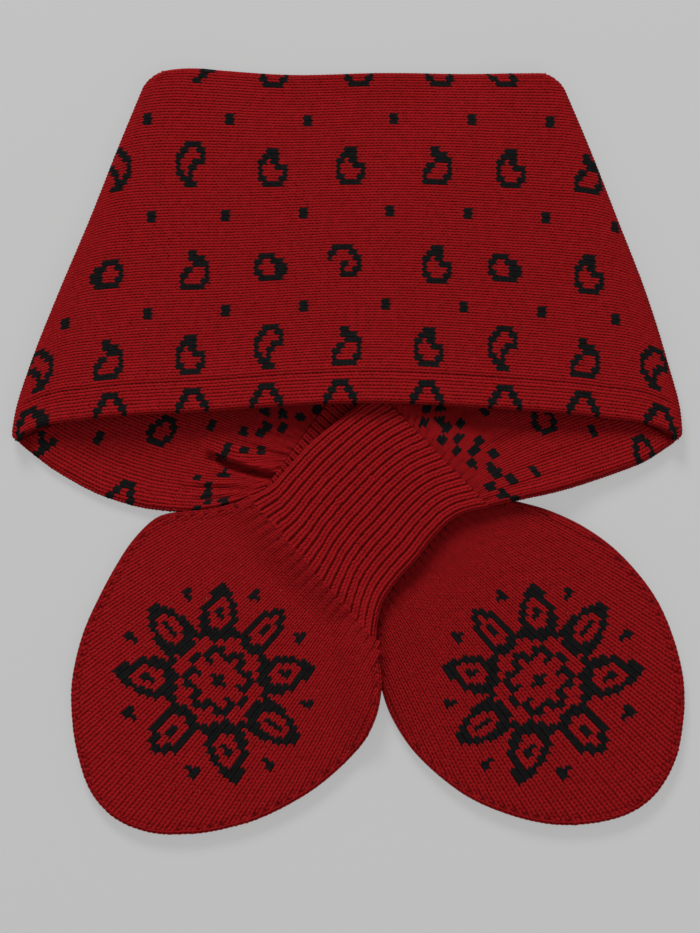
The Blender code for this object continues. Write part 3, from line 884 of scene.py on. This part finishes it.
def make_materials():
    mats["red"] = yarn_material("red_wool_yarn", RED, RED_DEEP)
    mats["black"] = yarn_material("black_wool_yarn", BLACK, BLACK_DEEP)
    # Both linking seams' yarns are darker reds: painted shade of the holes along each seam.
    mats["seam"] = yarn_material("linking_seam_painted_shade", SEAM_SHADE_RED, scaled(SEAM_SHADE_RED, 0.5))
    mats["rim"] = yarn_material("rim_seam_painted_shade", RIM_SEAM_SHADE_RED, scaled(RIM_SEAM_SHADE_RED, 0.7))
    # The cloth between the stitches is a darker copy of the red yarn: painted shade of the gaps
    # between the legs.
    mats["bed"] = cloth_material("red_knit_cloth_painted_shade", scaled(RED, 0.9), scaled(RED, 0.5))


def pattern_yarns():
    return [mats["red"], mats["black"]]


def finish_mesh(piece, mat):
    piece.data.update()
    bpy.ops.object.shade_smooth()
    piece.data.materials.append(mat)


def bed(points):
    """The cloth below a grid of stitch tops: sunk on its upper side, and as it is underneath."""
    up = unit(np.cross(np.gradient(points, axis=1), np.gradient(points, axis=0)))
    sunk = points - up * STITCH_BED * np.clip((1 + up[..., 2:]) / 2, 0, 1)
    sunk[..., 2] = np.maximum(sunk[..., 2], LOWEST)
    return sunk


def tube(name, points, counts):
    """A flattened tube of cloth, open at both ends: its rows of places go all the way round."""
    rows, columns = points.shape[:2]
    points = bed(points)
    points[-1] = points[0] = (points[0] + points[-1]) / 2
    bpy.ops.object.select_all(action="DESELECT")
    bpy.ops.mesh.primitive_grid_add(x_subdivisions=columns - 1, y_subdivisions=rows - 1, size=1)
    piece = bpy.context.object
    piece.name = piece.data.name = name
    piece.data.vertices.foreach_set("co", (points * MM).ravel())
    layer = piece.data.uv_layers[0]
    uv = np.empty(len(layer.data) * 2)
    layer.data.foreach_get("uv", uv)
    layer.data.foreach_set("uv", (uv.reshape(-1, 2) * counts).ravel())
    piece.data.update()
    bpy.ops.object.mode_set(mode="EDIT")
    bpy.ops.mesh.select_all(action="SELECT")
    bpy.ops.mesh.remove_doubles(threshold=1e-6)
    bpy.ops.object.mode_set(mode="OBJECT")
    wall = piece.modifiers.new("wall", "SOLIDIFY")
    wall.thickness = WALL * MM
    wall.offset = -1
    wall.thickness_clamp = WALL_CLAMP
    bpy.ops.object.modifier_apply(modifier="wall")
    places = np.empty(len(piece.data.vertices) * 3)
    piece.data.vertices.foreach_get("co", places)
    places[2::3] = np.maximum(places[2::3], 0)
    piece.data.vertices.foreach_set("co", places)
    finish_mesh(piece, mats["bed"])
    return piece


def disc(name, form, front):
    """A face of a paddle, shaped from a sphere: its poles are the middle, its equator the rim."""
    bpy.ops.object.select_all(action="DESELECT")
    bpy.ops.mesh.primitive_uv_sphere_add(segments=DISC_SEGMENTS, ring_count=DISC_RINGS, radius=1)
    piece = bpy.context.object
    piece.name = piece.data.name = name
    ball = np.empty(len(piece.data.vertices) * 3)
    piece.data.vertices.foreach_get("co", ball)
    ball = ball.reshape(-1, 3)
    angle = np.arctan2(ball[:, 1], ball[:, 0])
    polar = np.arcsin(np.clip(ball[:, 2], -1, 1)) / (math.pi / 2)
    reach = form.reach(angle)
    radius = form.rounding(*form.place(angle, reach))
    over = reach + (math.pi / 2 - 1) * radius
    away, share = turn(np.abs(polar) ** DISC_CROWD * over, radius)
    inset = DISC_INSET * (1 - share) * front
    x, y = form.place(angle, reach - away - inset)
    middle = form.low(x, y) + FACE / 2 + (FACE + GAP) * front
    high = FACE / 2 + form.relief(x, y, away) * front
    sink = STITCH_BED * np.clip(polar * 6, 0, 1) * front
    z = np.where(polar >= 0, middle + share * high - sink, middle - share * FACE / 2)
    places = np.stack([x, y, np.maximum(z, LOWEST)], axis=-1)
    piece.data.vertices.foreach_set("co", (places * MM).ravel())
    corners = np.empty(len(piece.data.loops), int)
    piece.data.loops.foreach_get("vertex_index", corners)
    fan_x, fan_y = x - form.fan[0], y - form.fan[1]
    courses = np.hypot(fan_x, fan_y) / PADDLE_COURSE
    wales = np.arctan2(fan_y, fan_x) * form.fan_length / PADDLE_WALE
    uv = np.stack([courses, wales], axis=-1)[corners]
    piece.data.uv_layers[0].data.foreach_set("uv", uv.ravel())
    finish_mesh(piece, mats["bed"])
    return piece


def leg_template():
    """One leg of a stitch: a slim closed grain along z, its ridge towards y."""
    bpy.ops.object.select_all(action="DESELECT")
    bpy.ops.mesh.primitive_uv_sphere_add(segments=3, ring_count=4, radius=1)
    grain = bpy.context.object
    mesh = grain.data
    places = np.array([v.co[:] for v in mesh.vertices])
    faces = [tuple(face.vertices) for face in mesh.polygons]
    uv = np.array([loop.uv[:] for loop in mesh.uv_layers[0].data])
    bpy.data.objects.remove(grain, do_unlink=True)
    return places, faces, uv


LEG_PLACES, LEG_FACES, LEG_UV = leg_template()


def legs_piece(name, places, black, yarns):
    """One piece of many legs, from the places of each leg's vertices."""
    legs = len(black)
    loops = np.concatenate(LEG_FACES)
    sizes = np.array([len(face) for face in LEG_FACES])
    totals = np.tile(sizes, legs)
    starts = np.arange(legs)[:, None] * len(LEG_PLACES)
    mesh = bpy.data.meshes.new(name)
    mesh.vertices.add(len(places))
    mesh.vertices.foreach_set("co", (places * MM).ravel())
    mesh.loops.add(legs * len(loops))
    mesh.loops.foreach_set("vertex_index", (loops[None] + starts).ravel())
    mesh.polygons.add(legs * len(sizes))
    mesh.polygons.foreach_set("loop_start", np.r_[0, np.cumsum(totals)[:-1]])
    mesh.polygons.foreach_set("loop_total", totals)
    mesh.polygons.foreach_set("material_index", np.repeat(black.astype(int), len(sizes)))
    mesh.polygons.foreach_set("use_smooth", np.ones(len(totals), bool))
    layer = mesh.uv_layers.new(name="yarn")
    layer.data.foreach_set("uv", np.tile(LEG_UV, (legs, 1)).ravel())
    for mat in yarns:
        mesh.materials.append(mat)
    mesh.update(calc_edges=True)
    mesh.validate()
    piece = bpy.data.objects.new(name, mesh)
    bpy.context.collection.objects.link(piece)
    return piece


def knit(name, surface, c, w, leg, yarns, black=False):
    """The yarn legs of these stitches, in one piece; black says which are of the second yarn.

    A black stitch has a third, wide leg below the other two, that fills it.
    """
    count = len(c)
    black = np.broadcast_to(black, c.shape)
    size = 1 + UNEVEN * rng.standard_normal(count)
    shift = UNEVEN * rng.standard_normal((count, 2))
    filled = np.flatnonzero(black)
    which = np.r_[np.arange(count), np.arange(count), filled]
    hand = np.r_[np.full(count, -1.0), np.ones(count), np.zeros(len(filled))]
    c, w, size, shift, black = c[which], w[which], size[which], shift[which], black[which]
    ahead = surface(c + 0.5, w) - surface(c - 0.5, w)
    aside = surface(c, w + 0.5) - surface(c, w - 0.5)
    up = np.cross(ahead, aside)
    if up[:, 2].mean() < 0:
        up = -up
    up = unit(up)
    across = np.cross(up, unit(ahead))
    width = np.linalg.norm(aside, axis=-1)
    wide = np.where(hand == 0, FILL_WIDE, leg.wide * np.where(black, BLACK_WIDER, 1)) / GRAIN_HALF
    sunk = leg.sunk + np.where(hand == 0, FILL_SUNK, 0)
    reach = leg.reach * np.where(black, BLACK_LONGER, 1)
    grain_x, grain_y, grain_z = LEG_PLACES.T
    at_c = (c + LEG_AHEAD + shift[:, 0])[:, None] + reach[:, None] * grain_z
    slant = hand[:, None] * (leg.spread + leg.lean * grain_z)
    at_w = (w + shift[:, 1] * UNEVEN_ASIDE)[:, None] + slant
    spine = surface(at_c, at_w)
    sideways = (wide * width * size)[:, None] * grain_x
    upwards = (leg.high * size)[:, None] * grain_y - sunk[:, None] - leg.dip * grain_z**2
    places = spine + across[:, None] * sideways[..., None] + up[:, None] * upwards[..., None]
    places = places.reshape(-1, 3)
    places[:, 2] = np.maximum(places[:, 2], LOWEST_YARN)
    return legs_piece(name, places, black, yarns)


# ------------------------------------------------------------------ the pattern


def chart_cells(name):
    """The black stitches of a chart, from its middle: courses to the right and wales up."""
    lines = CHARTS[name.lstrip("~")]
    if name.startswith("~"):
        lines = [line[::-1] for line in lines]
    for down, line in enumerate(lines):
        for along, mark in enumerate(line):
            if mark == "X":
                yield along - len(line) // 2, len(lines) // 2 - down


def stamp(black, c, w, name, course, wale, mirrored=False):
    """Makes a chart's stitches black, its middle at this course and wale."""
    for along, up in chart_cells(name):
        along = -along if mirrored else along
        black |= (np.round(c - course) == along) & (np.round(w - wale) == up)


def nearest(places, x, y):
    return np.argmin(np.hypot(places[:, 0] - x, places[:, 1] - y))


def medallion(x, y):
    """Where the black yarn of a paddle's medallion lies, by places from its middle."""
    radius, angle = np.hypot(x, y), np.arctan2(y, x)
    sector = math.pi / 4
    black = radius < HEART
    black |= np.abs(radius - RING - SCALLOP * np.abs(np.cos(4 * angle))) < LINE
    turned = (angle + sector / 2) % sector - sector / 2
    out, side = radius * np.cos(turned) - LEAF_AT, radius * np.sin(turned)
    half = LEAF_HALF * (1 - LEAF_TAPER * out / LEAF_LONG)
    leaf = np.hypot(out / LEAF_LONG, side / np.maximum(half, 0.5))
    black |= np.abs(leaf - 1) * LEAF_HALF < LINE
    black |= (np.abs(side) < VEIN_HALF) & (np.abs(out) < VEIN_LONG)
    between = (angle + sector) % sector - sector / 2
    for dot in MEDALLION_DOTS:
        off = radius * np.cos(between) - dot.away
        black |= np.hypot(off, radius * np.sin(between)) < dot.radius
    return black


# ------------------------------------------------------------------ the pieces


def grid_counts(low, high):
    """Courses and wales of a block of stitches."""
    c, w = np.meshgrid(np.arange(low[0], high[0]) + 0.5, np.arange(low[1], high[1]) + 0.5)
    return c.ravel(), w.ravel()


def around(surface, columns, top_rows):
    """Places all round a flattened tube: under its lower half, over the top and under again."""
    wales = surface.wales
    edge = wales * np.array([0.0, 0.008, 0.018, 0.03, 0.045])
    below = np.linspace(0.06, 0.5, 8) * wales
    top = np.linspace(wales * 0.06, wales * 0.94, top_rows)
    under_low, under_high = -np.r_[edge[1:], below][::-1], wales + np.r_[edge[1:], below]
    w = np.r_[under_low, edge, top, (wales - edge)[::-1], under_high]
    c = np.linspace(-0.2, surface.courses + 0.2, columns)
    start, end = surface(np.array([0.0, surface.courses]), wales / 2)
    if end[0] < start[0]:
        c = c[::-1]  # from left to right, so that the cloth's faces look outwards
    return surface(c[None, :], w[:, None])


def strip_tube(name, surface, mesh):
    return tube(name, around(surface, *mesh), (surface.courses, 2 * surface.wales))


def keep_top(name, surface):
    """Remembers a strip's upper side, so that what lies on it is laid over it."""
    c = np.arange(0, surface.courses + 1, 2.0)
    w = surface.wales * np.linspace(0, 1, 24)
    points = surface(c[None, :], w[:, None]).reshape(-1, 3)
    points[:, 2] = height_at(surface.under, points[:, 0], points[:, 1]) + surface.thick
    laid[name] = points


def plan_area(surface):
    """A strip's area as it lies, in square metres."""
    c = np.linspace(0, surface.courses, 60)
    low, high = surface(c, np.zeros(60)), surface(c, np.full(60, float(surface.wales)))
    width = np.linalg.norm((high - low)[:, :2], axis=1)
    steps = np.linalg.norm(np.diff((low + high)[:, :2] / 2, axis=0), axis=1)
    return float((steps * (width[1:] + width[:-1]) / 2).sum()) * MM**2


def shoelace(points):
    x, y = points.T
    return abs(float(np.dot(x, np.roll(y, -1)) - np.dot(y, np.roll(x, -1)))) / 2


def finish_cloth(cloth, node, stitches):
    """Each piece rides on the scarf's one body, and the cloth stands for its node."""
    for piece in [cloth, *stitches]:
        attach(piece, "root")
    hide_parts(node)


def finish_strip(cloth, surface, node, stitches):
    keep_top(cloth.name, surface)
    area = 2 * plan_area(surface)
    finish_cloth(cloth, node, [stitches])


def far_stretch(side, edges, troughs, motifs, spots, below):
    """A far stretch: what shows of it below the near stretch is knitted, the rest is cloth."""
    surface = Strip(edges, BAND, lie_on(below), WALES, COURSE, troughs, crowd=CROWD)
    name = f"far_stretch_{side}"
    cloth = strip_tube(name, surface, FAR_MESH)
    c, w = grid_counts((0, -2), (int(surface.courses) + 2, SHOWN_WALES))
    places = surface(c, w)
    past = band_lower(places[:, 0]) + SHOWN_PAST
    shown = (places[:, 1] < past) & (c < surface.courses + 0.2)
    c, w, places = c[shown], w[shown], places[shown]
    on_top = np.where(w[:, None] > 0, places, np.inf)
    black = np.zeros(len(c), bool)
    for chart, points in motifs.items():
        for x, y in points:
            i = nearest(on_top, x, y)
            stamp(black, c, w, chart, c[i], w[i], side == "right")
    for x, y in spots:
        black |= np.hypot(places[:, 0] - x, places[:, 1] - y) < SPOT
    stitches = knit(f"{name}_stitches", surface, c, w, BAND_LEG, pattern_yarns(), black)
    finish_strip(cloth, surface, f"band_far_{side}", stitches)


def neck(side, edges, below):
    surface = Strip(edges, RIB, lie_on(below), RIBS, RIB_COURSE, ribbed=True)
    name = f"neck_{side}_rib"
    cloth = strip_tube(name, surface, NECK_MESH)
    c, w = grid_counts((0, 0), (int(surface.courses) + 1, RIBS))
    stitches = knit(f"{name}_stitches", surface, c, w, RIB_LEG, pattern_yarns())
    finish_strip(cloth, surface, f"neck_{side}", stitches)


def rim_row(form, way, name, leg, mat):
    """A row of stitches round a paddle's rim, this far over the cloth from its middle."""
    gone = np.r_[0, np.cumsum(np.linalg.norm(np.diff(form.rim, axis=0), axis=1))]
    first, last = form.join_ends
    free = gone[-1] - np.linalg.norm(last - first)

    def surface(c, w):
        angle = np.interp(c * RIM_STITCH, gone, form.rim_angles)
        return form.rim_surface(angle, way + (w - 0.5) * RIM_STITCH)

    start, end = round(RIM_FROM_NECK / RIM_STITCH), int((free - RIM_FROM_NECK) / RIM_STITCH)
    c = np.arange(start, end) + 0.5
    return knit(name, surface, c, np.full(len(c), 0.5), leg, [mat])


def paddle(side, outline, middle, fan, troughs, below):
    form = Paddle(outline, middle, fan, troughs, lie_on(below))
    name = f"paddle_{side}"
    back = disc(f"{name}_back_face", form, False)
    front = disc(f"{name}_front_face", form, True)
    reach_c, reach_w = int(PADDLE_LONG / PADDLE_COURSE), int(PADDLE_HALF / PADDLE_WALE)
    c, w = grid_counts((-reach_c, -reach_w), (reach_c, reach_w))
    places = form.knit_surface(c, w)
    x, y = places[:, 0], places[:, 1]
    inside = form.inside(x, y)
    shown = inside + PADDLE_EDGE_AT_NECK * form.joined(x, y) > PADDLE_EDGE
    c, w, places, inside = c[shown], w[shown], places[shown], inside[shown]
    off = MEDALLION_OFF.x if side == "right" else -MEDALLION_OFF.x
    i = nearest(places, middle.x + off, middle.y + MEDALLION_OFF.y)
    black = medallion((c - c[i]) * PADDLE_COURSE, (w - w[i]) * PADDLE_WALE)
    seam = RIM_SEAM + RIM_SEAM_YARN
    stitches = [
        knit(f"{name}_stitches", form.knit_surface, c, w, JERSEY, pattern_yarns(), black),
        rim_row(form, RIM_CHAIN, f"{name}_rim_chain", CHAIN, mats["red"]),
        # The seam's yarn is a darker red: painted shade of its holes.
        rim_row(form, seam, f"{name}_linking_seam", SEAM_LEG, mats["rim"]),
    ]
    places[:, 2] = form.low(*places[:, :2].T) + 2 * FACE + GAP + form.crown(inside)
    edge = np.column_stack([form.rim, form.low(*form.rim.T) + 2 * FACE + GAP])
    laid[front.name] = np.vstack([places[::3], edge[::3]])
    area, flat = shoelace(form.rim) * MM**2, (0.130, 0.135)
    finish_cloth(front, f"{name}_front", stitches)
    finish_cloth(back, f"{name}_back", [])


def arch():
    """A raster of how high the near stretch's lower edge stands up, from fold to fold."""
    left, right = BAND_SIDES[-1].left, BAND_SIDES[-1].right
    across = np.clip((RASTER_X - left) / (right - left), 0, 1)
    rise = RASTER_Y[:, None] - band_lower(RASTER_X)
    high = np.interp(across, (0, 1), ARCH)
    return high * (1 - (2 * across - 1) ** 6) * (1 - soft_step(rise / ARCH_REACH))


def across_band(rows, wrap):
    """Courses of the near cloth's places in these rows, as far past its plan as wrap says."""
    left, right = wale_edges(rows)
    quarter = NEAR_SPREAD * math.pi / 2
    spread = np.sin(np.linspace(-1, 1, NEAR_COLUMNS) * quarter) / math.sin(quarter)
    half = (right - left) / 2 + wrap
    return ((left + right)[:, None] / 2 + spread[None, :] * half[:, None]) / COURSE


def near_cloth(surface):
    """The cloth of the near stretch: the upper layer with its folds, and the layer below."""
    rows = np.r_[LOW_ROWS, MIDDLE_ROWS, BAND_WALES - TOP_ROWS]
    wrap = FOLD_ROUND * (math.pi - 1) - UNDER_WRAP
    top = surface(across_band(rows, wrap), rows[:, None])
    rows = rows[1:-1:3][::-1]
    low = surface(across_band(rows, -FOLD_ROUND - UNDER_IN), rows[:, None])
    low[..., 2] = height_at(surface.over, low[..., 0], low[..., 1]) + UNDER_LIFT
    places = np.concatenate([top, low, top[:1]])
    return tube("near_stretch", places, (NEAR_WIDE / COURSE, 2 * BAND_WALES))


def near_pattern(c, w, places):
    """Which of the near stretch's stitches the band's repeat makes black."""
    black = np.zeros(len(c), bool)
    for row in BAND_ROWS:
        level = w[nearest(places, 0.0, row.height)]
        for chart, motifs in row.motifs.items():
            for at in motifs:
                stamp(black, c, w, chart, math.floor(at / COURSE) + 0.5, level)
    return black


def near_stitches(surface):
    reach = int(NEAR_REACH / COURSE)
    c, w = grid_counts((-reach, -1), (reach, BAND_WALES + 1))
    left, right = wale_edges(w)
    past = FOLD_TURN + FOLD_WRAP * soft_step(np.minimum(w + 2, BAND_WALES + 2 - w) / 5)
    shown = (c * COURSE > left - past) & (c * COURSE < right + past)
    c, w = c[shown], w[shown]
    places = surface(c, w)
    shown = places[:, 2] > STITCH_LIFT
    c, w, places = c[shown], w[shown], places[shown]
    black = near_pattern(c, w, places)
    stitches = []
    for half, at in (("left", c < 0), ("right", c >= 0)):
        name = f"near_stretch_stitches_{half}"
        stitches.append(knit(name, surface, c[at], w[at], BAND_LEG, pattern_yarns(), black[at]))
    # The linking seam's stitches are of a dark red: painted shade of its holes.
    reach = int(SEAM_HALF / COURSE)
    c = np.arange(-reach, reach) + 0.5
    w = np.full(len(c), float(HEM_WALES))
    stitches.append(knit("near_stretch_linking_seam", surface, c, w, SEAM_LEG, [mats["seam"]]))
    return stitches


def near_stretch():
    over = lie_on(list(laid), BAND_HELD, BAND_DOWN)
    surface = NearStretch((over**6 + arch() ** 6) ** (1 / 6))  # smooth where the two meet
    cloth = near_cloth(surface)
    stitches = near_stitches(surface)
    finish_cloth(cloth, "band_near", stitches)


# ------------------------------------------------------------------ floor, light and camera


def floor():
    bpy.ops.mesh.primitive_plane_add(size=6.0, location=(0, 0, -0.0002))
    ground = bpy.context.object
    ground.name = "floor"
    mat, shader = new_material("pale_floor", FLOOR_GREY, 0.9, 0.0, FLOOR_GREY)
    shader.inputs["Emission Color"].default_value = WHITE
    shader.inputs["Emission Strength"].default_value = FLOOR_GLOW
    ground.data.materials.append(mat)


def lamp(name, place, wide, power):
    """A round lamp that looks at the middle of the floor."""
    bpy.ops.object.light_add(type="AREA", location=place)
    light = bpy.context.object
    light.name = name
    light.data.shape = "DISK"
    light.data.size = wide
    light.data.energy = power
    light.rotation_euler = (-Vector(place)).to_track_quat("-Z", "Y").to_euler()


def lights():
    world = bpy.data.worlds.new("studio")
    bpy.context.scene.world = world
    world.use_nodes = True
    background = world.node_tree.nodes["Background"]
    background.inputs["Color"].default_value = WHITE
    background.inputs["Strength"].default_value = WORLD_LIGHT
    lamp("key", KEY_PLACE, KEY_WIDE, KEY_LIGHT)
    lamp("fill", FILL_PLACE, FILL_LAMP_WIDE, FILL_LIGHT)


def camera():
    bpy.ops.object.camera_add(location=(FRAME_MIDDLE.x * MM, FRAME_MIDDLE.y * MM, CAMERA_UP * MM))
    eye = bpy.context.object
    eye.name = "camera"
    eye.rotation_euler = (0, 0, 0)
    eye.data.sensor_fit = "VERTICAL"
    eye.data.sensor_height = SENSOR
    eye.data.lens = SENSOR * (CAMERA_UP - FRAME_LEVEL) / FRAME_HEIGHT
    bpy.context.scene.camera = eye
    bpy.context.scene.view_settings.view_transform = "Standard"


def main():
    """Builds the scarf from the floor up, as each piece is laid over those before it."""
    floor()
    make_materials()
    far_left = (FAR_LEFT_LOWER, FAR_LEFT_UPPER)
    far_right = (FAR_RIGHT_LOWER, FAR_RIGHT_UPPER)
    crossed = ["neck_back_rib", "paddle_right_front_face"]
    far_stretch("left", far_left, FAR_LEFT_TROUGHS, FAR_LEFT_MOTIFS, FAR_LEFT_SPOTS, [])
    neck("back", (NECK_BACK_LOWER, NECK_BACK_UPPER), [])
    paddle("right", PADDLE_RIGHT, PADDLE_RIGHT_MIDDLE, PADDLE_RIGHT_FAN, PADDLE_RIGHT_TROUGHS, [])
    below = ["far_stretch_left", *crossed]
    far_stretch("right", far_right, FAR_RIGHT_TROUGHS, FAR_RIGHT_MOTIFS, FAR_RIGHT_SPOTS, below)
    neck("front", (NECK_FRONT_LOWER, NECK_FRONT_UPPER), crossed)
    paddle("left", PADDLE_LEFT, PADDLE_LEFT_MIDDLE, PADDLE_LEFT_FAN, PADDLE_LEFT_TROUGHS, crossed)
    near_stretch()
    lights()
    camera()


main()
